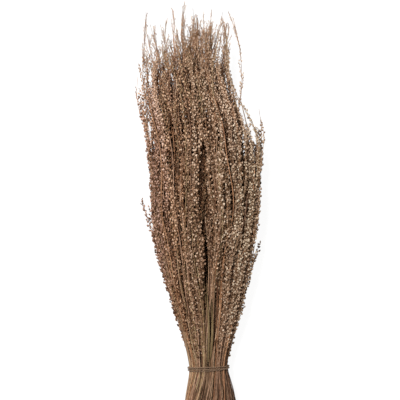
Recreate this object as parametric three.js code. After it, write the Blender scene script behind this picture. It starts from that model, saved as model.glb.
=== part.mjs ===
// A bunch of dried, seed-bearing grass stems, tied near its cut ends and lying on its side.
//
// Units are millimetres. +Y runs from the cut ends to the tips, +X is to the right of someone who looks
// down on the bunch with the tips away from them, +Z is up, and the surface it lies on is Z = 0.
//
// Every stem clump and seed head keeps one place (u, v) in a disc of radius 1. The bunch's cross-section at
// each height stretches that disc, so the clumps spread and gather together and never cross.

import * as THREE from 'three';

// ---- Driving dimensions -------------------------------------------------------------------------

// Cross-sections along the bunch: y from the cut ends, reach to the left and right of the tie's middle,
// thickness, and the height of the underside over the surface.
const CUT_ENDS = { y: 0, left: 42, right: 54, thickness: 76, lift: 0 };
const WAIST = { y: 122, left: 29, right: 33, thickness: 56, lift: 15 };
const LOWER_HEADS = { y: 205, left: 50, right: 55, thickness: 84, lift: 7 };
const BELLY = { y: 330, left: 89, right: 85, thickness: 114, lift: 0 };
const SHOULDER = { y: 490, left: 104, right: 96, thickness: 114, lift: 0 };
const CROWN = { y: 700, left: 117, right: 95, thickness: 96, lift: 10 };

const RINGS = [
  { cells: 3, radius: 0.185, phase: 0.0 },
  { cells: 9, radius: 0.505, phase: 0.5 },
  { cells: 16, radius: 0.838, phase: 0.5 },
];
const CELL_RADIUS = 0.16;        // of the disc's radius
const CLUMP_GAP = 0.3;           // left around each clump, so that neighbours stay 0.6 apart

const CUT_TURN = -Math.PI / 4;   // how far the cut ends are twisted round from the waist

const STEM_SIDES = 8;
const HEAD_SIDES = 8;
const SECTION_PITCH = 50;        // the bunch's cross-section changes evenly between these heights
const WHORL_PITCH = 25;          // from one whorl of branches to the narrower place above it
const WHORL_NECK = 0.87;         // how narrow a head is between two whorls

const FIRST_HEAD_Y = 158;        // where the outermost heads begin
const INNER_HEAD_DELAY = 120;    // how much later the innermost ones do
const HEAD_BASE_LENGTH = 55;     // over which a head grows to its full width
const HEAD_TIP_LENGTH = 110;     // over which it narrows again
const TIP_RADIUS = 0.16;         // of the head's full radius
const JOINT_GAP = 0.3;           // between a stem clump and the head on it

const LEFT_DROP = 70;            // how far the left, right and outermost heads end below the crown
const RIGHT_DROP = 175;
const OUTER_DROP = 65;
const RIGHT_SHOULDER_U = 0.6;    // heads further right than this are the short ones
const LEFT_SHOULDER_U = -0.6;
const LONG_TIPS = [
  { ring: 2, cell: 2, end: 690 },    // the lone twig on the right
  { ring: 2, cell: 12, end: 692 },   // and the one on the left
];
const LONG_TIP_RADIUS = 0.2;
const STAGGER = 26;              // spread of the heads' starts and ends
const CUT_STAGGER = 8;           // spread of the cut ends

const TIE_WIDTH = 9;
const TIE_THICKNESS = 2.4;
const TIE_CLEARANCE = 0.4;
const TIE_SIDES = 32;

const LEAVES = [
  { name: 'leaf_blade_01', u: -0.02, start: 134, length: 128, width: 5.5 },
  { name: 'leaf_blade_02', u: 0.16, start: 140, length: 96, width: 4.5 },
];
const LEAF_THICKNESS = 0.8;
const LEAF_CLEARANCE = 0.5;
const LEAF_STEPS = 8;

const FLOOR_SINK = 4;            // how much of the lowest clumps the surface presses flat

// ---- Materials ----------------------------------------------------------------------------------

const stemMaterial = new THREE.MeshStandardMaterial({ color: 0x8b6c47, roughness: 0.8, metalness: 0 });
const headMaterial = new THREE.MeshStandardMaterial({ color: 0x957058, roughness: 0.9, metalness: 0 });
const leafMaterial = new THREE.MeshStandardMaterial({ color: 0x7d6a3c, roughness: 0.75, metalness: 0 });
const tieMaterial = new THREE.MeshStandardMaterial({ color: 0x6d5a4c, roughness: 0.95, metalness: 0 });

// ---- The bunch's cross-section ------------------------------------------------------------------

const SECTIONS = [CUT_ENDS, WAIST, LOWER_HEADS, BELLY, SHOULDER, CROWN];

const smoothSection = new THREE.CubicInterpolant(
  SECTIONS.map((s) => s.y),
  SECTIONS.flatMap((s) => [s.left, s.right, s.thickness, s.lift]),
  4,
);

// Below the tie the stems run at a slant round the bunch, so the disc turns there.
function sectionAtPitch(index) {
  const y = index * SECTION_PITCH;
  const [left, right, thickness, lift] = smoothSection.evaluate(y);
  const turn = CUT_TURN * Math.max(0, 1 - y / WAIST.y);
  return {
    centreX: (right - left) / 2,
    centreZ: lift + thickness / 2 - FLOOR_SINK,
    halfWidth: (left + right) / 2,
    halfThickness: thickness / 2,
    turnCosine: Math.cos(turn),
    turnSine: Math.sin(turn),
  };
}

const PITCH_SECTIONS = Array.from(
  { length: Math.ceil(CROWN.y / SECTION_PITCH) + 1 },
  (_, index) => sectionAtPitch(index),
);

// Every value changes evenly from one pitch to the next, so clumps that start or end between two pitches
// still keep their distance.
function crossSection(y) {
  const place = THREE.MathUtils.clamp(y / SECTION_PITCH, 0, PITCH_SECTIONS.length - 1);
  const index = Math.min(Math.floor(place), PITCH_SECTIONS.length - 2);
  const [below, above] = [PITCH_SECTIONS[index], PITCH_SECTIONS[index + 1]];
  const blend = (key) => THREE.MathUtils.lerp(below[key], above[key], place - index);
  return Object.fromEntries(Object.keys(below).map((key) => [key, blend(key)]));
}

// ---- Shape helpers ------------------------------------------------------------------------------

function moveVertices(geometry, placeOf) {
  const position = geometry.getAttribute('position');
  const point = new THREE.Vector3();
  for (let i = 0; i < position.count; i += 1) {
    point.fromBufferAttribute(position, i);
    placeOf(point);
    position.setXYZ(i, point.x, point.y, point.z);
  }
  geometry.computeVertexNormals();
  return geometry;
}

// Heights from start to end with every multiple of the pitch between them.
function heightsBetween(start, end, pitch) {
  const heights = [start];
  for (let y = (Math.floor(start / pitch) + 1) * pitch; y < end; y += pitch) {
    heights.push(y);
  }
  heights.push(end);
  return heights;
}

function turnedCell({ u, v }, { turnCosine, turnSine }) {
  return {
    u: u * turnCosine + v * turnSine,
    v: v * turnCosine - u * turnSine,
  };
}

// A closed clump that follows its cell of the disc. radiusAt gives its radius as a share of the cell's.
function clumpGeometry(cell, heights, radiusAt, sides) {
  const outline = heights.map((y) => new THREE.Vector2(radiusAt(y), y));
  const first = new THREE.Vector2(0, heights[0]);
  const last = new THREE.Vector2(0, heights.at(-1));
  const geometry = new THREE.LatheGeometry([first, ...outline, last], sides, Math.PI / sides);
  return moveVertices(geometry, (point) => {
    const section = crossSection(point.y);
    const { u, v } = turnedCell(cell, section);
    const radiusX = CELL_RADIUS * section.halfWidth - CLUMP_GAP;
    const radiusZ = CELL_RADIUS * section.halfThickness - CLUMP_GAP;
    point.x = section.centreX + u * section.halfWidth + point.x * radiusX;
    point.z = section.centreZ + v * section.halfThickness + point.z * radiusZ;
    point.z = Math.max(point.z, 0);
  });
}

// ---- Sub-parts ----------------------------------------------------------------------------------

function discCells() {
  return RINGS.flatMap(({ cells, radius, phase }, ring) => (
    Array.from({ length: cells }, (_, cell) => {
      const angle = ((cell + phase) / cells) * 2 * Math.PI;
      return { ring, cell, u: radius * Math.sin(angle), v: radius * Math.cos(angle) };
    })
  ));
}

// Evenly scattered values from -0.5 to 0.5, the same on every run.
function stagger(index, step) {
  return ((index * step) % 1) - 0.5;
}

function headSpan(cell, index) {
  const distance = Math.hypot(cell.u, cell.v);
  const start = FIRST_HEAD_Y + INNER_HEAD_DELAY * (1 - distance) ** 2 + STAGGER * stagger(index, 0.618);
  let drop = OUTER_DROP * cell.v ** 2;
  if (cell.u > RIGHT_SHOULDER_U) {
    drop = RIGHT_DROP;
  } else if (cell.u < LEFT_SHOULDER_U) {
    drop = LEFT_DROP;
  }
  const end = CROWN.y - drop - STAGGER * (stagger(index, 0.382) + 0.5);
  const longTip = LONG_TIPS.find((tip) => tip.ring === cell.ring && tip.cell === cell.cell);
  return { start, end, tipEnd: longTip ? longTip.end : end };
}

function stemClump(cell, index, name) {
  const { start } = headSpan(cell, index);
  const cutEnd = CUT_ENDS.y + CUT_STAGGER * (stagger(index, 0.276) + 0.5);
  const heights = heightsBetween(cutEnd, start - JOINT_GAP, SECTION_PITCH);
  const mesh = new THREE.Mesh(clumpGeometry(cell, heights, () => 1, STEM_SIDES), stemMaterial);
  mesh.name = name;
  return mesh;
}

function seedHead(cell, index, name) {
  const { start, end, tipEnd } = headSpan(cell, index);
  const radiusAt = (y) => {
    const base = THREE.MathUtils.smoothstep(y, start - HEAD_BASE_LENGTH, start + HEAD_BASE_LENGTH);
    const tip = 1 - THREE.MathUtils.smoothstep(y, end - HEAD_TIP_LENGTH, end);
    const whorl = Math.round(y / WHORL_PITCH) % 2 ? WHORL_NECK : 1;
    const tipRadius = tipEnd > end ? LONG_TIP_RADIUS : TIP_RADIUS;
    return whorl * base * (tipRadius + (1 - tipRadius) * tip);
  };
  const heights = heightsBetween(start, tipEnd, WHORL_PITCH);
  const mesh = new THREE.Mesh(clumpGeometry(cell, heights, radiusAt, HEAD_SIDES), headMaterial);
  mesh.name = name;
  return mesh;
}

function tieBand() {
  const innerRadius = TIE_CLEARANCE;
  const outerRadius = TIE_CLEARANCE + TIE_THICKNESS;
  const [low, high] = [WAIST.y - TIE_WIDTH / 2, WAIST.y + TIE_WIDTH / 2];
  const outline = [
    new THREE.Vector2(innerRadius, low),
    new THREE.Vector2(outerRadius, low + TIE_THICKNESS / 2),
    new THREE.Vector2(outerRadius, high - TIE_THICKNESS / 2),
    new THREE.Vector2(innerRadius, high),
    new THREE.Vector2(innerRadius, low),
  ];
  const widest = (key) => Math.max(crossSection(low)[key], crossSection(high)[key]);
  const [halfWidth, halfThickness] = [widest('halfWidth'), widest('halfThickness')];
  const { centreX, centreZ } = crossSection(WAIST.y);
  const geometry = moveVertices(new THREE.LatheGeometry(outline, TIE_SIDES), (point) => {
    const radius = Math.hypot(point.x, point.z);
    point.x = centreX + point.x * (1 + halfWidth / radius);
    point.z = centreZ + point.z * (1 + halfThickness / radius);
  });
  const mesh = new THREE.Mesh(geometry, tieMaterial);
  mesh.name = 'tie_band';
  return mesh;
}

function leafBlade({ name, u, start, length, width }) {
  const blade = new THREE.BoxGeometry(width, length, LEAF_THICKNESS, 1, LEAF_STEPS, 1);
  const geometry = moveVertices(blade, (point) => {
    const along = point.y / length + 0.5;
    point.x *= 1 - 0.8 * along ** 2;
    point.y += start + length / 2;
    const section = crossSection(point.y);
    point.x += section.centreX + u * section.halfWidth;
    point.z += section.centreZ + section.halfThickness + LEAF_CLEARANCE + LEAF_THICKNESS / 2;
  });
  const mesh = new THREE.Mesh(geometry, leafMaterial);
  mesh.name = name;
  return mesh;
}

// ---- Assembly -----------------------------------------------------------------------------------

const bunch = new THREE.Group();
discCells().forEach((cell, index) => {
  const number = String(index + 1).padStart(2, '0');
  bunch.add(stemClump(cell, index, `stem_${number}`));
  bunch.add(seedHead(cell, index, `seed_head_${number}`));
});
bunch.add(tieBand());
bunch.add(...LEAVES.map(leafBlade));

// The origin is the middle of the whole bunch's footprint.
const footprint = new THREE.Box3().setFromObject(bunch);
const middle = footprint.getCenter(new THREE.Vector3());
bunch.position.set(-middle.x, -middle.y, -footprint.min.z);
bunch.updateMatrixWorld(true);

export default bunch;
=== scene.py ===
"""A bunch of dried, seed-bearing grass stems that lies on a pale floor, seen from straight above.

Lengths are in metres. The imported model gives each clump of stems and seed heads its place. Here every
clump becomes several real stems, each with a seed head of short erect branches that carry egg-shaped husks.
"""

import math

import bpy
import numpy as np
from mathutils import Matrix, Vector


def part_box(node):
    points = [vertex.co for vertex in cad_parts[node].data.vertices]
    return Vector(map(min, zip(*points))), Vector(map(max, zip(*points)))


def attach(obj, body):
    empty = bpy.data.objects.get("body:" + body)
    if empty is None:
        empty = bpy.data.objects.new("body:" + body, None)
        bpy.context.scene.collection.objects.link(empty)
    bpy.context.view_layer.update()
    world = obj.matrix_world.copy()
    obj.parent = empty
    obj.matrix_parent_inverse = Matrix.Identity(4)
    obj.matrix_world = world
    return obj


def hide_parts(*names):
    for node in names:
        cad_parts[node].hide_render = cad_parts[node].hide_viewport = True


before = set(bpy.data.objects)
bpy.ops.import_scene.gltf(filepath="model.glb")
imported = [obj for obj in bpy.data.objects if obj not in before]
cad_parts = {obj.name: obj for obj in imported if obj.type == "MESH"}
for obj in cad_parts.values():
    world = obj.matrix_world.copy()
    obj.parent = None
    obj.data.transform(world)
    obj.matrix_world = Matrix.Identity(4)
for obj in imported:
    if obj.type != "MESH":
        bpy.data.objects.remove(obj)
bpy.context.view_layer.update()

# ---- Driving dimensions ----

SEED = 416
GOLDEN_ANGLE = math.pi * (3 - math.sqrt(5))
GOLDEN_SHARE = 0.618

# Every clump keeps one place in the unit disc, which these sections stretch to the bunch's outline.
# Each row: height above the cut ends, reach to the left and to the right, lowest and highest point (mm).
OUTLINE = (
    (0, 42, 54, 2, 73),
    (73, 36, 49, 6, 69),
    (122, 29, 33, 11.5, 66.5),
    (160, 38, 41, 9, 77),
    (211, 53, 55, 6, 88),
    (262, 70, 64, 4, 100),
    (313, 83, 76, 4, 108),
    (364, 91, 87, 4, 110),
    (416, 92, 89, 4, 110),
    (492, 99, 91, 4, 110),
    (544, 113, 70, 5, 109),
    (595, 113, 46, 7, 107),
    (646, 112, 41, 9, 105),
    (720, 111, 40, 11, 103),
)
MIDDLE_SHIFT = 0.3         # how far the bunch's middle follows its outline sideways
RINGS = ((3, 0.185, 0.0), (9, 0.505, 0.5), (16, 0.838, 0.5))   # clumps, distance from the middle, phase
OUTER_RING = 2
CUT_TURN = -math.pi / 4    # how far the stems turn round the bunch below the tie
PINCH = 0.965              # share of their distance that stems keep at the tie
HELD_FROM, HELD_SPAN = 0.78, 0.20   # beyond this distance from the middle, stems are held in
OUTLINE_STEP = 0.0025
OUTLINE_BLUR = 0.015

STEMS_IN_RING = (15, 17, 22)   # with a head, in each clump of the ring
BARE_IN_RING = (0, 3, 6)   # stems without a head, in each clump of the ring
CLUMP_SPREAD = 0.16        # from a clump's middle to its edge, in the unit disc
STRANDS = 6                # in each clump: stems that run together, with furrows between
STRAND_WIDTH = 0.12        # spread of a strand's stems, as a share of the clump's
SPLAY = 0.09               # how far a head's tip bends away from its neighbours, in the unit disc
STRAND_SPLAY = 0.17        # how far the tips of one strand bend away together
SPLAY_FROM, SPLAY_SPAN = 0.42, 0.25   # where tips start to bend apart, and over what length
BARE_LIFT = 1.03           # bare stems lie this much further out above the tie

STEM_RADIUS = 0.00086
STEM_TIP_RADIUS = 0.00028
STEM_SIDES = 8
STEM_STEP = 0.012          # between two rings of a stem
STEM_RIB = 0.07
STEM_THICKNESSES, STEM_TONES = (0.75, 1.15), (-0.1, 1.0)   # ranges: share of the radius, and tone
STEM_TAPER = 0.8           # radius where the head starts, as a share of that at the cut end
CUT_RAGGED = 0.006         # how unevenly the stems are cut
CUT_FLARE, CUT_INNER = 1.07, 0.6   # radii of the cut face's rim and inner ring, in stem radii
CUT_HOLLOW = (0.25, 0.45)  # depths of that ring and of the middle, in stem radii
JOINT_SPACING = 0.115
JOINT_SWELL = 0.25         # how much thicker a stem is at its joints
JOINT_REACH = 0.7 * STEM_STEP
JOINTS_END = 0.05          # above the start of the head

HEAD_SHARE = 0.56          # of its clump's length that one seed head fills
SHORTEST_HEAD = 0.06
HEAD_START_SPREAD = (-0.038, 0.022)   # how much lower or higher than its clump's a head may start
HEAD_CLEARANCE = 0.006     # from the tie to the lowest head
BARE_FRONT = 0.16          # how much higher the heads start in the middle of the bunch's upper side
BARE_FRONT_MIDDLE, BARE_FRONT_WIDTH = 0.08, 0.22   # in the unit disc
DROP_SHARE = 0.66          # share of its clump's length that the lowest head ends below the tip
DROP_POWER = (1.8, 1.8, 1.5)   # for each ring; above 1, more heads end near the tip
TIP_GAP, TIP_DROP = 0.008, 0.044   # most heads end this far below their clump's tip
LEFT_SLOPE = 0.06          # how much lower the heads end towards the left, in metres per disc radius
LEFT_FROM = -0.3           # where that slope begins

HEAD_HALF_WIDTH = 0.0029
SPARSE_SHARE = 0.25        # of the heads, which carry few branches
SPARSE_FULLNESS = 0.4      # share of the usual branches on a sparse head or a sprig
SPRIG_WIDTH = 0.65         # as a share of a usual head's width
HEAD_REACHES, HEAD_WIDTHS = (0.85, 1.2), (0.75, 1.2)   # ranges, as shares of the usual ones
WISP, LONG_WISP, SPRIG_WISP = 0.002, 0.006, 0.018   # how far a head's axis runs past its branches
BRANCH_SPACING = 0.0108
BRANCH_LENGTH = 0.038
BRANCH_RADIUS = 0.00032
BRANCH_POINTS = 5
BRANCH_SIDES = 3
BRANCH_GAPS, BRANCH_LENGTHS, BRANCH_WIDTHS = (0.6, 1.4), (0.55, 1.1), (0.7, 1.3)   # ranges, as shares
BROAD_SHARE, BROADER = 0.12, 1.6   # of the branches, which stand out this much further
CROWN = (0.48, 0.63)       # between these heights the heads become finer, denser and wider
CROWN_SPACING = 0.50       # in the crown, as a share of the spacing below
CROWN_HUSK = 0.58          # size of a husk in the crown, as a share of the size below
CROWN_SLIM = 0.12          # how much narrower a crown husk is for its length
CROWN_WIDTH = 2.3
BLUNT_TIP = 0.035          # how much sooner a full head in the crown reaches its width

LONE_TIPS = {15: 0.160, 25: 0.045}   # clumps with two long heads; how far below the tip the others end
LONE_DROPS = (0.012, 0.042)   # how far below the clump's tip its two long heads end
LONE_DROP_SHARE = 0.6      # of the usual drop, for the other heads of such a clump
BOWED = (15,)              # clumps whose long heads bow outward and come back
BOW_LENGTH, BOW_BELOW = 0.20, 0.15   # length of the bow, and how far below the tip it starts
STRAY_PLACES = (0, 3)      # in each outer clump, the stems whose heads stand out of the bunch
STRAY_LEAN = {23: 0.010, 24: 0.012, 25: -0.008, 26: 0.008, 15: 0.028, 16: 0.010, 17: 0.012}
USUAL_LEAN = 0.008         # how far any other stray head's tip leans out of the bunch
LEANING_LENGTH = 0.14
SPRAYS = {25: (0.386, 0.018, 0.12), 18: (0.312, 0.011, 0.05)}   # low heads: end, lean, leaning length
SPRAY_PLACE = 3
SPRAY_HUG = 0.3            # how near a spray's foot is to its clump's middle

HUSK_LENGTH = 0.0047
HUSK_WIDTH = 0.0032
HUSK_SPACING = 0.0038
HUSK_SIDES = 6
HUSK_PROFILE = ((0.14, 0.62), (0.38, 1.0), (0.72, 0.64))   # share of the length, share of the radius
HUSK_TURN = 2.6            # round the branch, from one husk to the next
HUSK_STAND_OFF = 0.0006    # from the branch's axis to a husk's foot
HUSK_SIZES, HUSK_LEANS = (0.78, 1.15), (0.25, 0.75)   # ranges: share of the size, and outward lean
HUSK_TONES = (0.64, 0.26)  # middle and spread
SHRIVELLED_SHARE = 0.12    # of the husks, which are thinner and darker
SMALL_HUSK_SIDES = 5
SMALL_HUSK_PROFILE = ((0.20, 0.80), (0.60, 0.85))
SMALL_BELOW = 0.78         # husks below this share of the full size have the simpler shape

# Tables of positions and values for the hue and tone of husks and stems, and for the painted light and shade
# on them.
HUE_ACROSS = ((-0.07, -0.02, 0.02, 0.07), (0.0, 0.58, 0.66, 1.0))
RUST_UPWARD = ((0.42, 0.62), (0.0, 0.75))
RUST_HUE = 0.36
TONE_UPWARD = ((0.15, 0.30, 0.45, 0.55), (-0.09, -0.09, 0.00, 0.32))
TONE_ACROSS = ((0.01, 0.04), (-0.06, 0.05))
PAINTED_SHADE_DEPTH = (0.05, 0.22)  # where painted shade starts inside the bunch, and over what depth it deepens
PAINTED_DEEP_SHADE, CROWN_RELIEF = 0.42, 0.32   # painted shade: how much darker the inside of the bunch is painted, and how much less in the crown
STEM_LIGHT_AND_SHADE_ACROSS = ((-0.8, 0.0, 0.8), (0.30, -0.05, -0.62))   # below the tie: painted light on the left side and painted shade on the right side
STEM_HUES, STEM_HUE_SHARES = (0.1, 0.4, 0.7, 1.0), (0.25, 0.4, 0.2, 0.15)

FLOOR_Z = 0.0
FLOOR_GLOW = 0.93          # like a light table, so it stays white beside the bunch
STEM_FLOOR, BRANCH_FLOOR = FLOOR_Z + 0.0016, FLOOR_Z + 0.0012   # lowest place of their axes
CUT_MAP = 0.03             # share of a tube's map strip that each end takes

# ---- What the frame says ----

CUT_Y = min(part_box(node)[0].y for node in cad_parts)
tie_low, tie_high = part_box("tie_band")
TIE_CENTRE = (tie_low + tie_high) / 2
WAIST = TIE_CENTRE.y - CUT_Y
AXIS_X = TIE_CENTRE.x - 0.002   # the outline's reaches start here


def blurred_outline():
    """The outline's columns in metres at even heights, smoothed so that no section shows as a kink."""
    rows = np.array(OUTLINE) / 1000
    heights = np.arange(rows[0, 0], rows[-1, 0], OUTLINE_STEP)
    reach = int(3 * OUTLINE_BLUR / OUTLINE_STEP)
    steps = np.arange(-reach, reach + 1) * OUTLINE_STEP
    kernel = np.exp(-0.5 * (steps / OUTLINE_BLUR) ** 2)
    kernel /= kernel.sum()
    columns = [np.interp(heights, rows[:, 0], column) for column in rows.T[1:]]
    padded = [np.pad(column, reach, mode="reflect", reflect_type="odd") for column in columns]
    return heights, [np.convolve(column, kernel, "valid") for column in padded]


OUTLINE_HEIGHTS, OUTLINE_COLUMNS = blurred_outline()


def outline_at(height):
    """The bunch's reach to the left and right and its lowest and highest point at each height."""
    return [np.interp(height, OUTLINE_HEIGHTS, column) for column in OUTLINE_COLUMNS]


def place(u, v, height):
    """Points of the bunch from places in the unit disc and heights above the cut ends."""
    left, right, bottom, top = outline_at(height)
    turn = CUT_TURN * np.clip(1 - height / WAIST, 0, 1)
    across = u * np.cos(turn) + v * np.sin(turn)
    upward = v * np.cos(turn) - u * np.sin(turn)
    shift = MIDDLE_SHIFT * (right - left)
    x = AXIS_X + shift + across * np.where(across < 0, left + shift, right - shift)
    z = (bottom + top) / 2 + upward * (top - bottom) / 2
    return np.stack([x, height + CUT_Y, np.maximum(z, STEM_FLOOR)], -1)


def depth_inside(points):
    """How far inside the outline points are, from 0 at the bunch's surface to 1 in its middle."""
    height = points[:, 1] - CUT_Y
    left, right, bottom, top = outline_at(height)
    shift = MIDDLE_SHIFT * (right - left)
    painted_side_light = points[:, 0] - AXIS_X - shift
    across = painted_side_light / np.where(painted_side_light < 0, left + shift, right - shift)
    upward = (2 * points[:, 2] - bottom - top) / (top - bottom)
    return np.clip(1 - np.hypot(across, upward), 0, 1)


def hold_in(u, v):
    """The places moved inward so that none is further out than the outline."""
    far = np.maximum(np.hypot(u, v), 1e-6)
    pressed = HELD_FROM + HELD_SPAN * np.tanh((far - HELD_FROM) / HELD_SPAN)
    held = np.where(far > HELD_FROM, pressed, far)
    return u * held / far, v * held / far


class Clump:
    """One CAD clump's names, ring, place in the unit disc, and where its cut end and head are."""

    def __init__(self, number):
        self.number = number
        self.stem_node = f"stem_{number:02d}"
        self.head_node = f"seed_head_{number:02d}"
        first = 1
        for ring, (count, distance, phase) in enumerate(RINGS):
            if number < first + count:
                break
            first += count
        angle = (number - first + phase) * 2 * math.pi / count
        self.ring, self.angle = ring, angle
        self.u, self.v = distance * math.sin(angle), distance * math.cos(angle)
        self.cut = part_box(self.stem_node)[0].y - CUT_Y
        self.head_start, self.head_end = [corner.y - CUT_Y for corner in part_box(self.head_node)]
        self.head_length = self.head_end - self.head_start
        self.wander = np.random.default_rng((SEED, number, 1)).uniform(0, 2 * math.pi, (STRANDS, 4))


# ---- Mesh building ----


class Part:
    """Vertices, faces, map corners and vertex looks of one piece, gathered until the piece is made.

    A look is four numbers: tone, place along the stem or husk, rib and hue.
    """

    def __init__(self):
        self.points, self.looks, self.maps, self.loops, self.sizes, self.slots = [], [], [], [], [], []
        self.count = 0

    def add(self, points, looks, loops, sizes, maps, slot=0):
        self.points.append(points)
        self.looks.append(looks)
        self.loops.append(loops + self.count)
        self.sizes.append(sizes)
        self.maps.append(maps)
        self.slots.append(np.full(len(sizes), slot))
        self.count += len(points)

    def make(self, name, materials):
        points, looks = np.vstack(self.points), np.vstack(self.looks)
        loops, sizes, maps = np.concatenate(self.loops), np.concatenate(self.sizes), np.vstack(self.maps)
        mesh = bpy.data.meshes.new(name)
        mesh.vertices.add(len(points))
        mesh.vertices.foreach_set("co", points.astype(np.float32).ravel())
        mesh.loops.add(len(loops))
        mesh.loops.foreach_set("vertex_index", loops.astype(np.int32))
        mesh.polygons.add(len(sizes))
        mesh.polygons.foreach_set("loop_start", (np.cumsum(sizes) - sizes).astype(np.int32))
        mesh.polygons.foreach_set("material_index", np.concatenate(self.slots).astype(np.int32))
        layer = mesh.uv_layers.new(name="OFBake", do_init=False)
        layer.uv.foreach_set("vector", maps.astype(np.float32).ravel())
        look = mesh.attributes.new("look", "FLOAT_COLOR", "POINT")
        look.data.foreach_set("color", looks.astype(np.float32).ravel())
        for material in materials:
            mesh.materials.append(material)
        mesh.update(calc_edges=True)
        mesh.validate()
        mesh.shade_smooth()
        piece = bpy.data.objects.new(name, mesh)
        bpy.context.scene.collection.objects.link(piece)
        return piece


def unit(vectors):
    return vectors / np.maximum(np.linalg.norm(vectors, axis=-1, keepdims=True), 1e-12)


def cross_axes(direction):
    """Two directions square to each given direction and to each other, in right-handed order."""
    side = unit(np.cross(direction, (0.0, 0.0, 1.0)))
    return side, np.cross(direction, side)


def tube_faces(rings, sides, open_start=False):
    """Loops, face sizes and map corners from 0 to 1 for a tube whose rings follow one another."""
    ring, side = np.meshgrid(np.arange(rings - 1), np.arange(sides), indexing="ij")
    after = (side + 1) % sides
    corners = np.stack([ring * sides + side, ring * sides + after,
                        (ring + 1) * sides + after, (ring + 1) * sides + side], -1)
    along = CUT_MAP + (1 - 2 * CUT_MAP) * np.stack([ring, ring, ring + 1, ring + 1], -1) / (rings - 1)
    around = np.stack([side, side + 1, side + 1, side], -1) / sides
    turn = circle(sides) * (0.4, 0.4 * CUT_MAP)
    ends, end_maps = [np.arange(sides) + (rings - 1) * sides], [turn + (0.5, 1 - CUT_MAP / 2)]
    if not open_start:
        ends.append(np.arange(sides)[::-1])
        end_maps.append(turn + (0.5, CUT_MAP / 2))
    loops = np.concatenate([corners.ravel(), *ends])
    sizes = np.concatenate([np.full(side.size, 4), np.full(len(ends), sides)])
    return loops, sizes, np.vstack([np.stack([around.ravel(), along.ravel()], 1), *end_maps])


def circle(sides):
    """Points evenly round the unit circle."""
    angle = np.arange(sides) * 2 * math.pi / sides
    return np.stack([np.cos(angle), np.sin(angle)], 1)


def rims(across, up, sides):
    """Unit circles in the planes of two directions, one for each point of a path."""
    turn = circle(sides)
    return turn[None, :, :1] * across[:, None] + turn[None, :, 1:] * up[:, None]


def add_tube(part, path, radii, sides, looks, cell, slot=0, open_start=False):
    """One tube along a path. cell is the low corner and the size of its place on the map."""
    rim = rims(*cross_axes(unit(np.gradient(path, axis=0))), sides)
    rim *= radii[:, None, None] if radii.ndim == 1 else radii[:, :, None]
    points = path[:, None] + rim
    loops, sizes, maps = tube_faces(len(path), sides, open_start)
    placed = np.array(cell[0]) + np.array(cell[1]) * ((0.04, 0.01) + np.array((0.92, 0.98)) * maps)
    part.add(points.reshape(-1, 3), looks.reshape(-1, 4), loops, sizes, placed, slot)


def husk_template(count, profile):
    """An egg of unit length and radius along +Z: points, looks, loops, face sizes and map corners."""
    points, looks = [(0, 0, 0)], [(0, 0, 0.5, 0)]
    for height, radius in profile:
        for i, (x, y) in enumerate(circle(count)):
            points.append((radius * x, radius * y, height))
            looks.append((0, height, i % 2, 0))
    points.append((0, 0, 1))
    looks.append((0, 1, 0.5, 0))
    heights = [height for height, _ in profile]
    loops, sizes, maps = [], [], []
    for i in range(count):
        after = (i + 1) % count
        left, right, middle = i / count, (i + 1) / count, (i + 0.5) / count
        loops += [0, 1 + after, 1 + i]
        maps += [(middle, 0), (right, heights[0]), (left, heights[0])]
        sizes.append(3)
        for ring in range(len(heights) - 1):
            low, high = 1 + ring * count, 1 + (ring + 1) * count
            loops += [low + i, low + after, high + after, high + i]
            maps += [(left, heights[ring]), (right, heights[ring]),
                     (right, heights[ring + 1]), (left, heights[ring + 1])]
            sizes.append(4)
        top = 1 + (len(heights) - 1) * count
        loops += [top + i, top + after, top + count]
        maps += [(left, heights[-1]), (right, heights[-1]), (middle, 1)]
        sizes.append(3)
    return [np.array(table) for table in (points, looks, loops, sizes, maps)]


HUSK = husk_template(HUSK_SIDES, HUSK_PROFILE)
SMALL_HUSK = husk_template(SMALL_HUSK_SIDES, SMALL_HUSK_PROFILE)


def add_husks(part, template, husks, cell_size):
    """Many husks at once, each with its own place on the map."""
    points, looks, loops, sizes, maps = template
    base, direction, roll, lengths, widths, tones, hues, cells = husks
    count = len(base)
    across, up = cross_axes(direction)
    turned = across * np.cos(roll)[:, None] + up * np.sin(roll)[:, None]
    other = np.cross(direction, turned)
    radii = widths / 2
    placed = (
        base[:, None]
        + turned[:, None] * points[None, :, :1] * radii[:, None, None]
        + other[:, None] * points[None, :, 1:2] * radii[:, None, None]
        + direction[:, None] * points[None, :, 2:] * lengths[:, None, None]
    )
    placed[:, :, 2] = np.maximum(placed[:, :, 2], FLOOR_Z)
    look = np.broadcast_to(looks, (count, *looks.shape)).copy()
    look[:, :, 0] = tones[:, None]
    look[:, :, 3] = hues[:, None]
    all_loops = loops[None] + np.arange(count)[:, None] * len(points)
    all_maps = cells[:, None] + cell_size * (0.06 + 0.88 * maps[None])
    part.add(placed.reshape(-1, 3), look.reshape(-1, 4), all_loops.ravel(), np.tile(sizes, count),
             all_maps.reshape(-1, 2))


# ---- Materials ----


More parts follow.
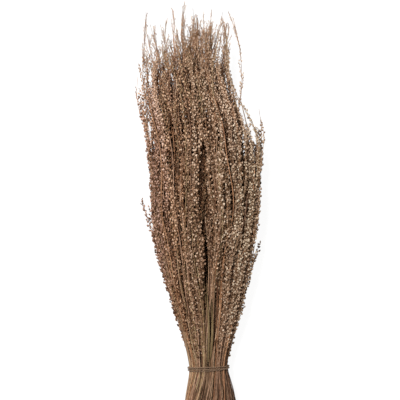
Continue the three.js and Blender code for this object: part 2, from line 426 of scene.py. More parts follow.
class Look:
    """A material's nodes, added and linked one call at a time."""

    def __init__(self, name):
        self.material = bpy.data.materials.new(name)
        self.material.use_nodes = True
        self.tree = self.material.node_tree
        self.shader = self.tree.nodes["Principled BSDF"]

    def add(self, kind, inputs=(), **settings):
        node = self.tree.nodes.new(kind)
        for name, value in settings.items():
            setattr(node, name, value)
        for name, value in dict(inputs).items():
            self.put(node.inputs[name], value)
        return node

    def put(self, socket, value):
        if isinstance(value, bpy.types.NodeSocket):
            self.tree.links.new(value, socket)
        else:
            socket.default_value = value

    def math(self, operation, *values):
        node = self.tree.nodes.new("ShaderNodeMath")
        node.operation = operation
        for socket, value in zip(node.inputs, values):
            self.put(socket, value)
        return node.outputs[0]

    def mix(self, blend, factor, a, b):
        node = self.tree.nodes.new("ShaderNodeMix")
        node.data_type, node.blend_type = "RGBA", blend
        self.put(node.inputs[0], factor)
        self.put(node.inputs[6], a)
        self.put(node.inputs[7], b)
        return node.outputs[2]

    def ramp(self, value, stops):
        node = self.tree.nodes.new("ShaderNodeValToRGB")
        self.put(node.inputs[0], value)
        elements = node.color_ramp.elements
        while len(elements) < len(stops):
            elements.new(0.5)
        for element, (position, colour) in zip(elements, stops):
            element.position = position
            element.color = (*colour, 1) if isinstance(colour, tuple) else (colour, colour, colour, 1)
        return node.outputs["Color"]

    def vertex_look(self):
        node = self.add("ShaderNodeAttribute", attribute_name="look")
        parts = self.add("ShaderNodeSeparateColor", {"Color": node.outputs["Color"]})
        return (*[parts.outputs[i] for i in range(3)], node.outputs["Alpha"])

    def noise(self, scale, detail=3.0, stretch=(1, 1, 1)):
        spot = self.add("ShaderNodeTexCoord").outputs["Object"]
        scaled = self.add("ShaderNodeMapping", {"Vector": spot, "Scale": stretch})
        settings = {"Vector": scaled.outputs[0], "Scale": scale, "Detail": detail}
        node = self.add("ShaderNodeTexNoise", settings)
        return node.outputs["Fac"]

    def bump(self, height, strength, distance):
        node = self.add("ShaderNodeBump", {"Height": height, "Strength": strength, "Distance": distance})
        self.put(self.shader.inputs["Normal"], node.outputs["Normal"])


TINTS = (
    (0.0, (1.0, 0.86, 0.87)),      # mauve
    (0.33, (1.0, 0.82, 0.64)),     # rust
    (0.66, (1.0, 0.93, 0.85)),     # tan
    (1.0, (0.93, 0.94, 0.84)),     # greyish olive
)


def husk_material():
    """Papery husks: pale in the middle, dark at the foot from a darker base plus painted shade where husks
    meet, and browned at the point, with faint ribs.
    """
    look = Look("dry_husk")
    tone, along, rib, hue = look.vertex_look()
    body = look.ramp(tone, (
        (0.0, (0.060, 0.028, 0.013)),
        (0.3, (0.200, 0.118, 0.070)),
        (0.6, (0.380, 0.268, 0.200)),
        (0.85, (0.560, 0.435, 0.350)),
        (1.0, (0.720, 0.610, 0.520)),
    ))
    tinted = look.mix("MULTIPLY", 1.0, body, look.ramp(hue, TINTS))
    # Dark at the foot: partly the husk's own darker base, partly painted shade in the gaps where husks crowd
    # the branch. Browned at the point.
    foot_shade_and_tip_brown = look.ramp(along, (
        (0.0, (0.24, 0.13, 0.07)),
        (0.24, (0.78, 0.68, 0.58)),
        (0.5, (1.0, 1.0, 1.0)),
        (0.8, (0.92, 0.86, 0.80)),
        (1.0, (0.48, 0.32, 0.22)),
    ))
    foot_shaded = look.mix("MULTIPLY", 1.0, tinted, foot_shade_and_tip_brown)
    blotch = look.noise(700, 4)
    mottled = look.mix("MULTIPLY", 0.75, foot_shaded, look.ramp(blotch, ((0.3, 0.55), (0.5, 0.95), (0.7, 1.15))))
    look.put(look.shader.inputs["Base Color"], mottled)
    look.put(look.shader.inputs["Roughness"], look.ramp(blotch, ((0.3, 0.82), (0.7, 0.6))))
    look.shader.inputs["Specular IOR Level"].default_value = 0.15
    height = look.math("ADD", look.math("MULTIPLY", rib, 0.6), look.math("MULTIPLY", blotch, 0.5))
    look.bump(height, 0.5, 0.0004)
    return look.material


def stem_material():
    """Dry straw: streaked and mottled, with darker joints, and stems that differ from one another."""
    look = Look("dry_stem")
    tone, joint, rib, hue = look.vertex_look()
    streaks = look.noise(60, 5, (14, 0.35, 14))
    value = look.math("ADD", look.math("MULTIPLY", tone, 0.6), look.math("MULTIPLY", streaks, 0.4))
    body = look.ramp(value, (
        (0.1, (0.060, 0.028, 0.014)),
        (0.35, (0.165, 0.092, 0.052)),
        (0.6, (0.300, 0.190, 0.120)),
        (0.9, (0.480, 0.345, 0.240)),
    ))
    tint = look.ramp(hue, (
        (0.0, (1.0, 0.88, 0.86)),
        (0.4, (1.0, 0.95, 0.88)),
        (0.7, (0.88, 0.90, 0.70)),
        (1.0, (1.05, 0.82, 0.64)),
    ))
    tinted = look.mix("MULTIPLY", 1.0, body, tint)
    scraps = look.noise(190, 4, (2.5, 1, 2.5))
    mottled = look.mix("MULTIPLY", 0.8, tinted, look.ramp(scraps, ((0.32, 0.52), (0.5, 1.05), (0.7, 1.45))))
    jointed = look.mix("MULTIPLY", look.math("MULTIPLY", joint, 0.8), mottled, (0.42, 0.33, 0.27, 1))
    look.put(look.shader.inputs["Base Color"], jointed)
    look.put(look.shader.inputs["Roughness"], look.ramp(streaks, ((0.3, 0.72), (0.7, 0.5))))
    look.shader.inputs["Specular IOR Level"].default_value = 0.25
    height = look.math("ADD", streaks, look.math("MULTIPLY", rib, 0.35))
    look.bump(height, 0.6, 0.0003)
    return look.material


def pith_material():
    """The cut face of a stem: a pale, spongy middle inside a darker rim."""
    look = Look("cut_pith")
    _, rim, _, _ = look.vertex_look()
    grain = look.noise(2500, 3)
    colour = look.ramp(rim, (
        (0.0, (0.42, 0.31, 0.19)),
        (0.7, (0.36, 0.25, 0.14)),
        (0.95, (0.12, 0.065, 0.03)),
    ))
    speckled = look.mix("MULTIPLY", 0.7, colour, look.ramp(grain, ((0.35, 0.5), (0.6, 1.1))))
    look.put(look.shader.inputs["Base Color"], speckled)
    look.put(look.shader.inputs["Roughness"], look.ramp(grain, ((0.3, 0.95), (0.7, 0.8))))
    look.bump(grain, 0.6, 0.0003)
    return look.material


def leaf_material():
    """A dried leaf blade: olive brown with fine parallel veins."""
    look = Look("dry_leaf")
    tone, _, rib, _ = look.vertex_look()
    veins = look.noise(90, 4, (16, 0.5, 16))
    value = look.math("ADD", look.math("MULTIPLY", tone, 0.45), look.math("MULTIPLY", veins, 0.55))
    colour = look.ramp(value, (
        (0.25, (0.055, 0.032, 0.013)),
        (0.5, (0.15, 0.100, 0.045)),
        (0.75, (0.29, 0.205, 0.11)),
    ))
    look.put(look.shader.inputs["Base Color"], colour)
    look.put(look.shader.inputs["Roughness"], look.ramp(veins, ((0.3, 0.85), (0.7, 0.65))))
    look.shader.inputs["Specular IOR Level"].default_value = 0.15
    look.bump(look.math("ADD", veins, look.math("MULTIPLY", rib, 0.5)), 0.7, 0.0003)
    return look.material


def twine_material():
    """Dull brown twine, with the slant of its plies in the colour and the bump."""
    look = Look("tie_twine")
    _, along, rib, _ = look.vertex_look()
    fibre = look.noise(900, 4)
    ply = look.math("SINE", look.math("MULTIPLY", look.math("ADD", along, rib), 2 * math.pi))
    value = look.math("ADD", look.math("MULTIPLY", ply, 0.2), look.math("MULTIPLY", fibre, 0.8))
    colour = look.ramp(value, (
        (0.2, (0.085, 0.045, 0.024)),
        (0.45, (0.205, 0.125, 0.074)),
        (0.7, (0.34, 0.225, 0.145)),
    ))
    look.put(look.shader.inputs["Base Color"], colour)
    look.put(look.shader.inputs["Roughness"], look.ramp(fibre, ((0.3, 0.95), (0.7, 0.8))))
    look.bump(value, 0.8, 0.0005)
    return look.material


def floor_material():
    """A matt white surface that glows like a light table."""
    look = Look("pale_floor")
    grain = look.noise(6, 2)
    look.put(look.shader.inputs["Base Color"], look.ramp(grain, ((0.3, 0.12), (0.7, 0.14))))
    look.shader.inputs["Roughness"].default_value = 0.9
    look.shader.inputs["Specular IOR Level"].default_value = 0.1
    look.shader.inputs["Emission Color"].default_value = (1, 1, 1, 1)
    look.shader.inputs["Emission Strength"].default_value = FLOOR_GLOW
    return look.material


HUSK_LOOK, STEM_LOOK, PITH_LOOK = husk_material(), stem_material(), pith_material()
LEAF_LOOK, TWINE_LOOK = leaf_material(), twine_material()

# ---- Stems and seed heads ----


def region_hue(points):
    """Mauve on the left, tan in the middle, greyish olive on the right, rust towards the tips."""
    across = np.interp(points[:, 0], *HUE_ACROSS)
    rust = np.interp(points[:, 1] - CUT_Y, *RUST_UPWARD)
    return across + rust * (RUST_HUE - across)


def region_tone_and_shade(points):
    """Paler towards the tips, darker low down and on the left, with painted shade below the surface of the
    bunch.
    """
    height = points[:, 1] - CUT_Y
    along = np.interp(height, *TONE_UPWARD)
    across = np.interp(points[:, 0], *TONE_ACROSS)
    # Painted shade: husks deeper inside the bunch are darkened, where its strands would shade one another.
    painted_shade_share = np.clip((depth_inside(points) - PAINTED_SHADE_DEPTH[0]) / PAINTED_SHADE_DEPTH[1], 0, 1)
    return along + across - (PAINTED_DEEP_SHADE - CROWN_RELIEF * crown_share(height)) * painted_shade_share


def crown_share(height):
    """0 below the crown, 1 at its full fineness."""
    return np.interp(height, CROWN, (0, 1))


def spiral(index, count, turn):
    """One of several places spread evenly over the unit disc."""
    share, angle = math.sqrt((index + 0.5) / count), index * GOLDEN_ANGLE + turn
    return np.array([math.cos(angle), math.sin(angle)]) * share


# How stems and heads run: tables of heights or distances and values, and the bends of a stem's waves.
SPREAD_AT = ((0, 0.09, 0.15, 0.28, 0.70), (1.1, 0.95, 0.95, 1.1, 1.3))   # share of the clump's spread
LOOSE_AT = ((0, 0.08, WAIST, 0.18, 0.28, 0.62), (0.12, 0.11, 0.02, 0.05, 0.045, 0.13))
GROUPED_AT = ((WAIST - 0.01, WAIST + 0.06), (0, 1))   # from even places to strands
BELOW_TIE = ((WAIST - 0.03, WAIST + 0.05), (1.0, 0.0))
PINCH_AT = ((0, 0.03), (PINCH, 1))   # from the tie
BARE_LIFT_AT = ((0.02, 0.08), (1, BARE_LIFT))   # above the tie
FOOT_SWELL = ((0, 0.03), (0.7, 1.0))   # a head's width, from its start
TIP_HUSKS = ((0, 0.05), (0.8, 1.0))   # size of husks, from the head's end
WAVES = ((17, 39), (15, 35))
SHORT_WAVE = 0.4           # strength of the short wave, as a share of the long one's


def wandering(height, phases, bends):
    """A long wave with a weaker, shorter one on it."""
    return np.sin(height * bends[0] + phases[0]) + SHORT_WAVE * np.sin(height * bends[1] + phases[1])


class Stem:
    """One stem: its path from the cut end to the tip, and where its seed head starts and ends."""

    def __init__(self, clump, index, count, rng, bare=False):
        self.clump, self.bare = clump, bare
        self.stray = clump.ring == OUTER_RING and index in STRAY_PLACES and not bare
        self.lone = clump.number in LONE_TIPS and index < len(LONE_DROPS) and not bare
        self.sprig = self.lone or index == 0
        strand = index % STRANDS
        self.even = spiral(index, count, clump.number)
        self.side = spiral(strand, STRANDS, clump.number) + rng.normal(0, STRAND_WIDTH, 2)
        self.find_tip(index, count, rng)
        self.find_head_start(rng)
        self.cut = clump.cut + rng.uniform(0, CUT_RAGGED)
        self.radius = STEM_RADIUS * rng.uniform(*STEM_THICKNESSES)
        self.tone = rng.uniform(*STEM_TONES)
        self.hue = rng.choice(STEM_HUES, p=STEM_HUE_SHARES)
        self.wander = clump.wander[strand] + rng.normal(0, 0.3, 4)
        self.splay = rng.normal(0, SPLAY, 2) + STRAND_SPLAY * np.sin(clump.wander[strand, 1:3])
        self.lean = rng.normal(0, 0.10, 2)
        self.width = rng.uniform(*HEAD_WIDTHS) * (SPRIG_WIDTH if self.sprig else 1)
        self.wisp = 0.0 if bare else rng.uniform(WISP, SPRIG_WISP if self.sprig else LONG_WISP)
        self.fullness = SPARSE_FULLNESS if self.sprig or rng.random() < SPARSE_SHARE else 1.0

    def find_tip(self, index, count, rng):
        """Where the head ends, and how far its tip leans out of the bunch."""
        clump = self.clump
        order = (index * GOLDEN_SHARE + rng.uniform(0, 1 / count)) % 1
        drop = DROP_SHARE * clump.head_length * order ** DROP_POWER[clump.ring] + rng.uniform(0, TIP_DROP)
        if self.stray or self.lone:
            self.side = np.array([math.sin(clump.angle), math.cos(clump.angle)]) * rng.uniform(0.5, 0.9)
        if self.lone:
            drop = LONE_DROPS[index]
        elif clump.number in LONE_TIPS:
            drop = LONE_TIPS[clump.number] + drop * LONE_DROP_SHARE
        elif index == 0:
            drop = rng.uniform(-0.006, 0.006)
        else:
            drop += TIP_GAP
        drop += 0 if self.lone else LEFT_SLOPE * max(0, LEFT_FROM - clump.u)
        self.head_end = clump.head_end - drop
        self.outward, self.leaning = STRAY_LEAN.get(clump.number, USUAL_LEAN), LEANING_LENGTH
        if clump.number in LONE_TIPS and not self.lone:
            self.outward = USUAL_LEAN
        if clump.number in SPRAYS and index == SPRAY_PLACE and not self.bare:
            self.head_end, self.outward, self.leaning = SPRAYS[clump.number]
            self.side *= SPRAY_HUG

    def find_head_start(self, rng):
        """Where the head starts: higher in the middle of the front, where bare stems show."""
        clump = self.clump
        reach = HEAD_SHARE * clump.head_length * rng.uniform(*HEAD_REACHES)
        lowest = max(clump.head_start + rng.uniform(*HEAD_START_SPREAD), WAIST + HEAD_CLEARANCE)
        if clump.v > 0.3:
            across = clump.u + CLUMP_SPREAD * self.side[0] - BARE_FRONT_MIDDLE
            lowest += BARE_FRONT * math.exp(-(across / BARE_FRONT_WIDTH) ** 2) * rng.uniform(0.4, 1.5)
        self.head_start = min(max(self.head_end - reach, lowest), self.head_end - SHORTEST_HEAD)
        if self.bare:
            self.head_end = rng.uniform(0.35, 0.65 if clump.u > 0.5 else 0.9) * clump.head_end
            self.head_start = self.head_end

    def path(self, height):
        """Points of the stem at the given heights."""
        above = np.clip(height - WAIST, 0, None)
        spread = CLUMP_SPREAD * np.interp(height, *SPREAD_AT)
        loose = np.interp(height, *LOOSE_AT)
        splay = np.clip((height - SPLAY_FROM) / SPLAY_SPAN, 0, None) ** 1.5
        grouped = np.interp(height, *GROUPED_AT)
        side = self.even[:, None] + grouped * (self.side - self.even)[:, None]
        bend = self.lean[:, None] * above * 2 + self.splay[:, None] * splay
        u = self.clump.u + side[0] * spread + loose * wandering(height, self.wander[:2], WAVES[0]) + bend[0]
        v = self.clump.v + side[1] * spread + loose * wandering(height, self.wander[2:], WAVES[1]) + bend[1]
        u, v = hold_in(u, v)
        stretch = np.interp(np.abs(height - WAIST), *PINCH_AT)
        if self.bare:
            stretch = stretch * np.interp(above, *BARE_LIFT_AT)
        points = place(u * stretch, v * stretch, height)
        if self.stray:
            out = self.outward * self.lean_share(height)
            points[..., 0] += out * math.sin(self.clump.angle)
            points[..., 2] = np.maximum(points[..., 2] + out * math.cos(self.clump.angle), STEM_FLOOR)
        return points

    def lean_share(self, height):
        """How much of a stray head's lean each height has."""
        if self.lone and self.clump.number in BOWED:
            share = np.clip((height - self.head_end + BOW_BELOW) / BOW_LENGTH, 0, 1)
            return np.sin(math.pi * share)
        return np.clip((height - self.head_end) / self.leaning + 1, 0, None) ** 1.6


def add_stem(part, stem, column, columns, rng):
    """The bare stem and the axis of its head, as one tapering tube with joints and a cut end."""
    end = stem.head_end + stem.wisp
    count = int((end - stem.cut) / STEM_STEP) + 2
    height = np.linspace(stem.cut, end, count)
    path = stem.path(height)
    taper = np.interp(height, (stem.cut, stem.head_start, end),
                      (stem.radius, stem.radius * STEM_TAPER, STEM_TIP_RADIUS))
    phase = rng.uniform(0, JOINT_SPACING)
    off = np.abs((height + phase) % JOINT_SPACING - JOINT_SPACING / 2)
    joint = np.exp(-((off / JOINT_REACH) ** 2)) * (height < stem.head_start + JOINTS_END)
    radii = taper * (1 + JOINT_SWELL * joint)
    ribs = 1 + STEM_RIB * np.where(np.arange(STEM_SIDES) % 2, 1, -1)
    looks = np.empty((count, STEM_SIDES, 4))
    # Painted light and shade: below the tie, stems on the left are lightened and stems on the right darkened,
    # as if lit from the left.
    painted_side_light = np.interp(stem.clump.u, *STEM_LIGHT_AND_SHADE_ACROSS)
    below = np.interp(height, *BELOW_TIE)
    looks[..., 0] = np.clip(stem.tone + painted_side_light * below, 0, 1)[:, None]
    looks[..., 1] = joint[:, None]
    looks[..., 2] = np.arange(STEM_SIDES) % 2
    looks[..., 3] = stem.hue
    cell = ((column / columns, 0.0), (1 / columns, 1.0))
    add_tube(part, path, radii[:, None] * ribs, STEM_SIDES, looks, cell, open_start=True)
    add_cut_end(part, path[0], unit(path[1] - path[0]), radii[0], column, columns)


def add_cut_end(part, centre, direction, radius, column, columns):
    """The cut face at a stem's lower end, slightly hollow, with a pale middle inside its rim."""
    across, up = cross_axes(direction)
    turn = circle(STEM_SIDES)
    rim = turn[:, :1] * across + turn[:, 1:] * up
    inner_rim = centre + radius * (CUT_INNER * rim + CUT_HOLLOW[0] * direction)
    middle = centre + radius * CUT_HOLLOW[1] * direction
    looks = np.zeros((2 * STEM_SIDES + 1, 4))
    looks[:STEM_SIDES, 1], looks[STEM_SIDES:-1, 1] = 1.0, 0.55
    side = np.arange(STEM_SIDES)
    after = (side + 1) % STEM_SIDES
    outer = np.stack([side, side + STEM_SIDES, after + STEM_SIDES, after], 1)
    inner = np.stack([side + STEM_SIDES, np.full(STEM_SIDES, 2 * STEM_SIDES), after + STEM_SIDES], 1)
    spot = np.array([(column + 0.5) / columns, CUT_MAP / 2])
    reach = np.array([0.45 / columns, 0.45 * CUT_MAP])
    flat = np.vstack([turn, 0.55 * turn, [[0, 0]]]) * reach + spot
    loops = np.concatenate([outer.ravel(), inner.ravel()])
    points = np.vstack([centre + CUT_FLARE * radius * rim, inner_rim, middle])
    part.add(points, looks, loops, np.repeat([4, 3], STEM_SIDES), flat[loops], 1)


def branch_layout(stem, rng):
    """Feet, lengths, azimuths and widths of a head's branches."""
    feet, foot = [], stem.head_start
    while foot < stem.head_end - 0.003:
        feet.append(foot)
        spacing = BRANCH_SPACING * (1 + (CROWN_SPACING - 1) * crown_share(foot)) / stem.fullness
        foot += spacing * rng.uniform(*BRANCH_GAPS)
    feet = np.array(feet)
    count, to_tip = len(feet), stem.head_end - feet
    blunt = BLUNT_TIP * crown_share(stem.head_end) * (stem.fullness == 1)
    taper = np.interp(to_tip, (0, 0.02 - 0.4 * blunt, 0.06 - blunt), (0.2, 0.55, 1.0))
    lengths = BRANCH_LENGTH * rng.uniform(*BRANCH_LENGTHS, count) * (0.4 + 0.6 * taper)
    lengths = np.minimum(lengths, to_tip + 0.006)
    azimuth = np.arange(count) * GOLDEN_ANGLE + rng.uniform(-0.5, 0.5, count)
    swell = np.interp(feet - stem.head_start, *FOOT_SWELL) * taper
    widths = HEAD_HALF_WIDTH * (1 + (CROWN_WIDTH - 1) * crown_share(feet)) * stem.width * swell
    widths *= rng.uniform(*BRANCH_WIDTHS, count)
    widths[rng.random(count) < BROAD_SHARE] *= BROADER
    return feet, lengths, azimuth, widths


def branch_points(stem, foot, length, azimuth, width, share):
    """Points along a branch that leaves its axis at a slant and, below the crown, then runs beside it."""
    path = stem.path(foot + length * share)
    outward = np.array([math.cos(azimuth), 0, math.sin(azimuth)])
    slant = crown_share(foot)
    away = (1 - slant) * (1 - (1 - share) ** 2) + slant * share
    path = path + outward * (width * away)[:, None]
    path[:, 2] = np.maximum(path[:, 2], BRANCH_FLOOR)
    return path


def branch_husks(stem, branch, rng):
    """The husks of one branch: feet, directions, rolls, lengths, widths and tones."""
    crown = crown_share(branch[0])
    smaller = (1 + (CROWN_HUSK - 1) * crown) * np.interp(stem.head_end - branch[0], *TIP_HUSKS)
    count = max(2, int(branch[1] / (HUSK_SPACING * smaller)))
    share = (np.arange(count) + 0.6 + rng.uniform(-0.25, 0.25, count)) / count
    share = np.clip(share, 0, 1)
    middle = branch_points(stem, *branch, share)
    forward = unit(branch_points(stem, *branch, share + 0.05) - middle)
    turn = np.arange(count) * HUSK_TURN + rng.uniform(0, 6.28) + rng.uniform(-0.4, 0.4, count)
    side, up = cross_axes(forward)
    outward = side * np.cos(turn)[:, None] + up * np.sin(turn)[:, None]
    lean = rng.uniform(*HUSK_LEANS, (count, 1)) * (1 - 0.4 * crown)
    size = rng.uniform(*HUSK_SIZES, count) * smaller
    tones = np.clip(rng.normal(*HUSK_TONES, count), 0.05, 1.0)
    shrivelled = rng.random(count) < SHRIVELLED_SHARE
    tones[shrivelled] *= 0.35
    widths = HUSK_WIDTH * size * np.where(shrivelled, 0.7, 1.0) * (1 - CROWN_SLIM * crown)
    roll = rng.uniform(0, 6.28, count)
    feet, directions = middle + outward * HUSK_STAND_OFF, unit(forward + lean * outward)
    return feet, directions, roll, HUSK_LENGTH * size, widths, tones


def head_contents(stem, rng):
    """The branches of one head as paths, and its husks as arrays."""
    branches, husks = [], []
    for branch in zip(*branch_layout(stem, rng)):
        branches.append(branch_points(stem, *branch, np.linspace(0, 1, BRANCH_POINTS)))
        husks.append(branch_husks(stem, branch, rng))
    return branches, [np.concatenate(column) for column in zip(*husks)]


def seed_heads(clump, stems, rng):
    """One piece with the branches and husks of all the heads in a clump."""
    contents = [head_contents(stem, rng) for stem in stems]
    total = sum(len(branches) + len(husks[0]) for branches, husks in contents)
    grid = math.ceil(math.sqrt(total))
    corner = np.stack([np.arange(grid * grid) % grid, np.arange(grid * grid) // grid], 1) / grid
    part, used = Part(), 0
    for stem, (branches, husks) in zip(stems, contents):
        hue_shift = rng.uniform(-0.14, 0.14)
        tone_shift = rng.uniform(-0.20, 0.14)
        for path in branches:
            tone = stem.tone + (1 - stem.tone) * 0.7 * crown_share(path[0, 1] - CUT_Y)
            looks = np.tile((tone, 0.0, 0.5, stem.hue), (BRANCH_POINTS * BRANCH_SIDES, 1))
            radii = BRANCH_RADIUS * np.linspace(1.2, 0.6, BRANCH_POINTS)
            add_tube(part, path, radii, BRANCH_SIDES, looks, (corner[used], (1 / grid, 1 / grid)), 1)
            used += 1
        base, direction, roll, lengths, widths, tones = husks
        hues = np.clip(region_hue(base) + hue_shift + rng.normal(0, 0.05, len(base)), 0, 1)
        tones = np.clip(tones + tone_shift + region_tone_and_shade(base), 0, 1)
        cells = corner[used:used + len(base)]
        columns = (base, direction, roll, lengths, widths, tones, hues, cells)
        small = lengths < SMALL_BELOW * HUSK_LENGTH
        if clump.ring < OUTER_RING:
            small |= base[:, 1] - CUT_Y < CROWN[0]
        for template, chosen in ((HUSK, ~small), (SMALL_HUSK, small)):
            chosen_husks = [column[chosen] for column in columns]
            add_husks(part, template, chosen_husks, 1 / grid)
        used += len(base)
    piece = part.make(f"seed_heads_{clump.number:02d}", [HUSK_LOOK, STEM_LOOK])
    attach(piece, "root")
    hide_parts(clump.head_node)


def stems_piece(clump, stems, rng):
    part = Part()
    for column, stem in enumerate(stems):
        add_stem(part, stem, column, len(stems), rng)
    piece = part.make(f"stems_{clump.number:02d}", [STEM_LOOK, PITH_LOOK])
    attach(piece, "root")
    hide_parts(clump.stem_node)


def grow_clumps():
    for number in range(1, sum(ring[0] for ring in RINGS) + 1):
        rng = np.random.default_rng((SEED, number))
        clump = Clump(number)
        count = STEMS_IN_RING[clump.ring]
        bare_count = BARE_IN_RING[clump.ring]
        stems = [Stem(clump, index, count, rng) for index in range(count)]
        bare = [Stem(clump, index, bare_count, rng, True) for index in range(bare_count)]
        stems_piece(clump, stems + bare, rng)
        seed_heads(clump, stems, rng)


# ---- Leaves and tie ----

LEAF_STEPS = 24
LEAF_THICKNESS = 0.0004
LEAF_WIDTH = 0.5           # as a share of its CAD blade's box
LEAF_FOLD = 0.0009         # how far its edges rise above its middle
LEAF_WAVE, LEAF_LIFT = 0.001, 0.0008   # of its spine
LEAF_REACH = 0.0625        # sideways, for one radius of the unit disc
LEAF_DEPTH = ((0, 0.3), (0.88, 0.97))   # share of its length, and distance from the bunch's middle
LEAF_TONE = ((0, 0.5, 1), (0.5, 0.7, 0.35))
LEAF_RIM = ((-1, 1, 1), (0, 0, 1), (1, 1, 1), (1, 1, 0), (0, 0, 0), (-1, 1, 0))   # across, folded, upper side


def leaf_blade(node, curl):
    """A long ribbon, folded a little along its middle, that tapers to a point."""
    low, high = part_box(node)
    share = np.linspace(0, 1, LEAF_STEPS)
    height = low.y - CUT_Y + share * (high.y - low.y)
    u = ((low.x + high.x) / 2 - AXIS_X) / LEAF_REACH
    depth = np.interp(share, *LEAF_DEPTH)
    path = place(depth * u, depth * math.sqrt(1 - u ** 2), height)
    outline = np.clip(np.minimum(0.55 + share * 3, 1.15 * (1 - share ** 3)), 0.05, 1)
    half = (high.x - low.x) * LEAF_WIDTH / 2 * outline
    twist = curl * share ** 2
    across = np.stack([np.cos(twist), 0 * share, np.sin(twist)], 1)
    normal = np.stack([-np.sin(twist), 0 * share, np.cos(twist)], 1)
    wave = LEAF_WAVE * np.stack([np.sin(share * 4), 0 * share, np.sin(share * 7)], 1)
    spine = path + wave + np.array([0, 0, LEAF_LIFT])
    rows = []
    for edge, folded, upper in LEAF_RIM:
        lift = folded * LEAF_FOLD * half[:, None] / half.max() + upper * LEAF_THICKNESS
        rows.append(spine + across * (edge * half)[:, None] + normal * lift)
    points = np.stack(rows, 1)
    sides = len(LEAF_RIM)
    loops, sizes, maps = tube_faces(LEAF_STEPS, sides)
    looks = np.empty((LEAF_STEPS, sides, 4))
    looks[..., 0] = np.interp(share, *LEAF_TONE)[:, None]
    looks[..., 1] = share[:, None]
    looks[..., 2] = [1 - folded for _, folded, _ in LEAF_RIM]
    looks[..., 3] = 0.5
    part = Part()
    part.add(points.reshape(-1, 3), looks.reshape(-1, 4), loops, sizes, maps)
    piece = part.make(node.replace("leaf_blade", "leaf"), [LEAF_LOOK])
    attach(piece, "root")
    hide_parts(node)


TWINE_RADIUS = 0.00075
TWINE_TURNS = 4
TWINE_STEPS = 72
TWINE_SIDES = 8
TWINE_PLY_LENGTH = 0.004
TWINE_CLIMB = 0.003        # above and below the middle of the waist
TWINE_SLANTS = ((0.0018, 1, 0.6), (0.0012, 0.77, 0))   # height, waves in a turn, phase
TWINE_HUG = 0.975          # how close to the outline the twine lies
TWINE_LIFT, TWINE_SLACK = 0.0001, 0.0005
SLACK_STEPS = 25           # over which the slack is smoothed


def twine():
    """A few turns of thin twine round the waist, each a little aslant."""
    rng = np.random.default_rng((SEED, 0))
    steps = TWINE_TURNS * TWINE_STEPS
    angle = np.linspace(0, TWINE_TURNS * 2 * math.pi, steps)
    climb = np.linspace(-TWINE_CLIMB, TWINE_CLIMB, steps)
    slant = sum(size * np.sin(waves * angle + phase) for size, waves, phase in TWINE_SLANTS)
    waist = place(TWINE_HUG * np.sin(angle), TWINE_HUG * np.cos(angle), WAIST + climb + slant)
    window = np.ones(SLACK_STEPS) / SLACK_STEPS
    slack = np.convolve(rng.normal(0, 1, steps + SLACK_STEPS - 1), window, "valid")
    path = waist + unit(from_tie_middle(waist)) * (TWINE_LIFT + TWINE_SLACK * np.abs(slack))[:, None]
    length = np.concatenate([[0], np.cumsum(np.linalg.norm(np.diff(path, axis=0), axis=1))])
    looks = np.empty((steps, TWINE_SIDES, 4))
    looks[..., 0] = 0.5
    looks[..., 1] = (length / TWINE_PLY_LENGTH)[:, None]
    looks[..., 2] = np.arange(TWINE_SIDES) / TWINE_SIDES
    looks[..., 3] = 0.5
    part = Part()
    add_twine(part, path, looks)
    piece = part.make("tie_twine", [TWINE_LOOK])
    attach(piece, "root")
    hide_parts("tie_band")


def from_tie_middle(points):
    """The way from the tie's axis out to each point."""
    return (points - np.array([TIE_CENTRE.x, 0, TIE_CENTRE.z])) * (1, 0, 1)


def add_twine(part, path, looks):
    """The twine's tube, whose rings keep the same side to the bunch so that the plies run evenly."""
    direction = unit(np.gradient(path, axis=0))
    outward = from_tie_middle(path)
    outward = unit(outward - direction * (outward * direction).sum(1, keepdims=True))
    rim = rims(outward, np.cross(direction, outward), TWINE_SIDES)
    points = path[:, None] + TWINE_RADIUS * rim
    loops, sizes, maps = tube_faces(len(path), TWINE_SIDES)
    part.add(points.reshape(-1, 3), looks.reshape(-1, 4), loops, sizes, maps)


# ---- Stage, light and camera ----

VIEW_WIDTH = 0.640
VIEW_FOOT = 0.070          # of the stems' length that lies below the camera's view
VIEW_OFF_X = -0.0132       # from the tie's middle to the view's
CAMERA_HEIGHT = 2.0
WORLD_COLOUR = (1.0, 0.97, 0.94, 1)


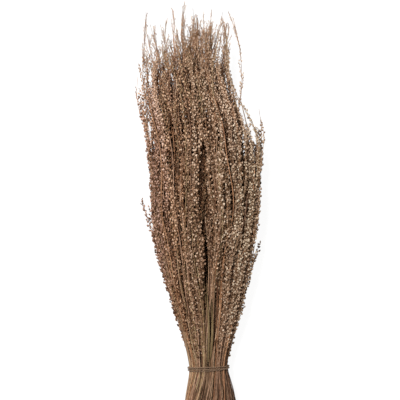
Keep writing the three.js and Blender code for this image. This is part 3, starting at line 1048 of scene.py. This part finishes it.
def make_floor():
    """The pale surface that the bunch lies on."""
    bpy.ops.mesh.primitive_plane_add(size=8, location=(0, 0, FLOOR_Z - 0.0002))
    floor = bpy.context.active_object
    floor.name = "floor"
    floor.data.materials.append(floor_material())


def make_light(name, position, size, power):
    """A round lamp that points at the middle of the bunch."""
    data = bpy.data.lights.new(name, "AREA")
    data.shape, data.size, data.energy = "DISK", size, power
    light = bpy.data.objects.new(name, data)
    light.location = position
    light.rotation_euler = (-Vector(position)).to_track_quat("-Z", "Y").to_euler()
    bpy.context.scene.collection.objects.link(light)


def make_world(overhead, horizon):
    """A soft room that is brighter round the horizon than overhead."""
    world = bpy.data.worlds.new("soft_room")
    world.use_nodes = True
    nodes, links = world.node_tree.nodes, world.node_tree.links
    direction = nodes.new("ShaderNodeTexCoord").outputs["Generated"]
    parts = nodes.new("ShaderNodeSeparateXYZ")
    ramp = nodes.new("ShaderNodeMapRange")
    ramp.inputs["From Min"].default_value, ramp.inputs["From Max"].default_value = 0.10, 0.55
    ramp.inputs["To Min"].default_value, ramp.inputs["To Max"].default_value = horizon, overhead
    background = nodes["Background"]
    background.inputs["Color"].default_value = WORLD_COLOUR
    links.new(direction, parts.inputs[0])
    links.new(parts.outputs["Z"], ramp.inputs["Value"])
    links.new(ramp.outputs["Result"], background.inputs["Strength"])
    bpy.context.scene.world = world


def make_camera():
    """A camera that looks straight down on the bunch, with the tips at the top of its view."""
    data = bpy.data.cameras.new("camera")
    camera = bpy.data.objects.new("camera", data)
    centre = Vector((TIE_CENTRE.x + VIEW_OFF_X, CUT_Y + VIEW_FOOT + VIEW_WIDTH / 2, TIE_CENTRE.z))
    camera.location = centre + Vector((0, 0, CAMERA_HEIGHT))
    data.lens = data.sensor_width * CAMERA_HEIGHT / VIEW_WIDTH
    data.clip_end = 20
    bpy.context.scene.collection.objects.link(camera)
    bpy.context.scene.camera = camera


make_camera()
make_floor()
make_world(overhead=0.25, horizon=0.8)
make_light("key", position=(-0.5, 0.6, 2.15), size=0.5, power=60)
bpy.context.scene.view_settings.view_transform = "Standard"

grow_clumps()
leaf_blade("leaf_blade_01", curl=0.35)
leaf_blade("leaf_blade_02", curl=-0.5)
twine()
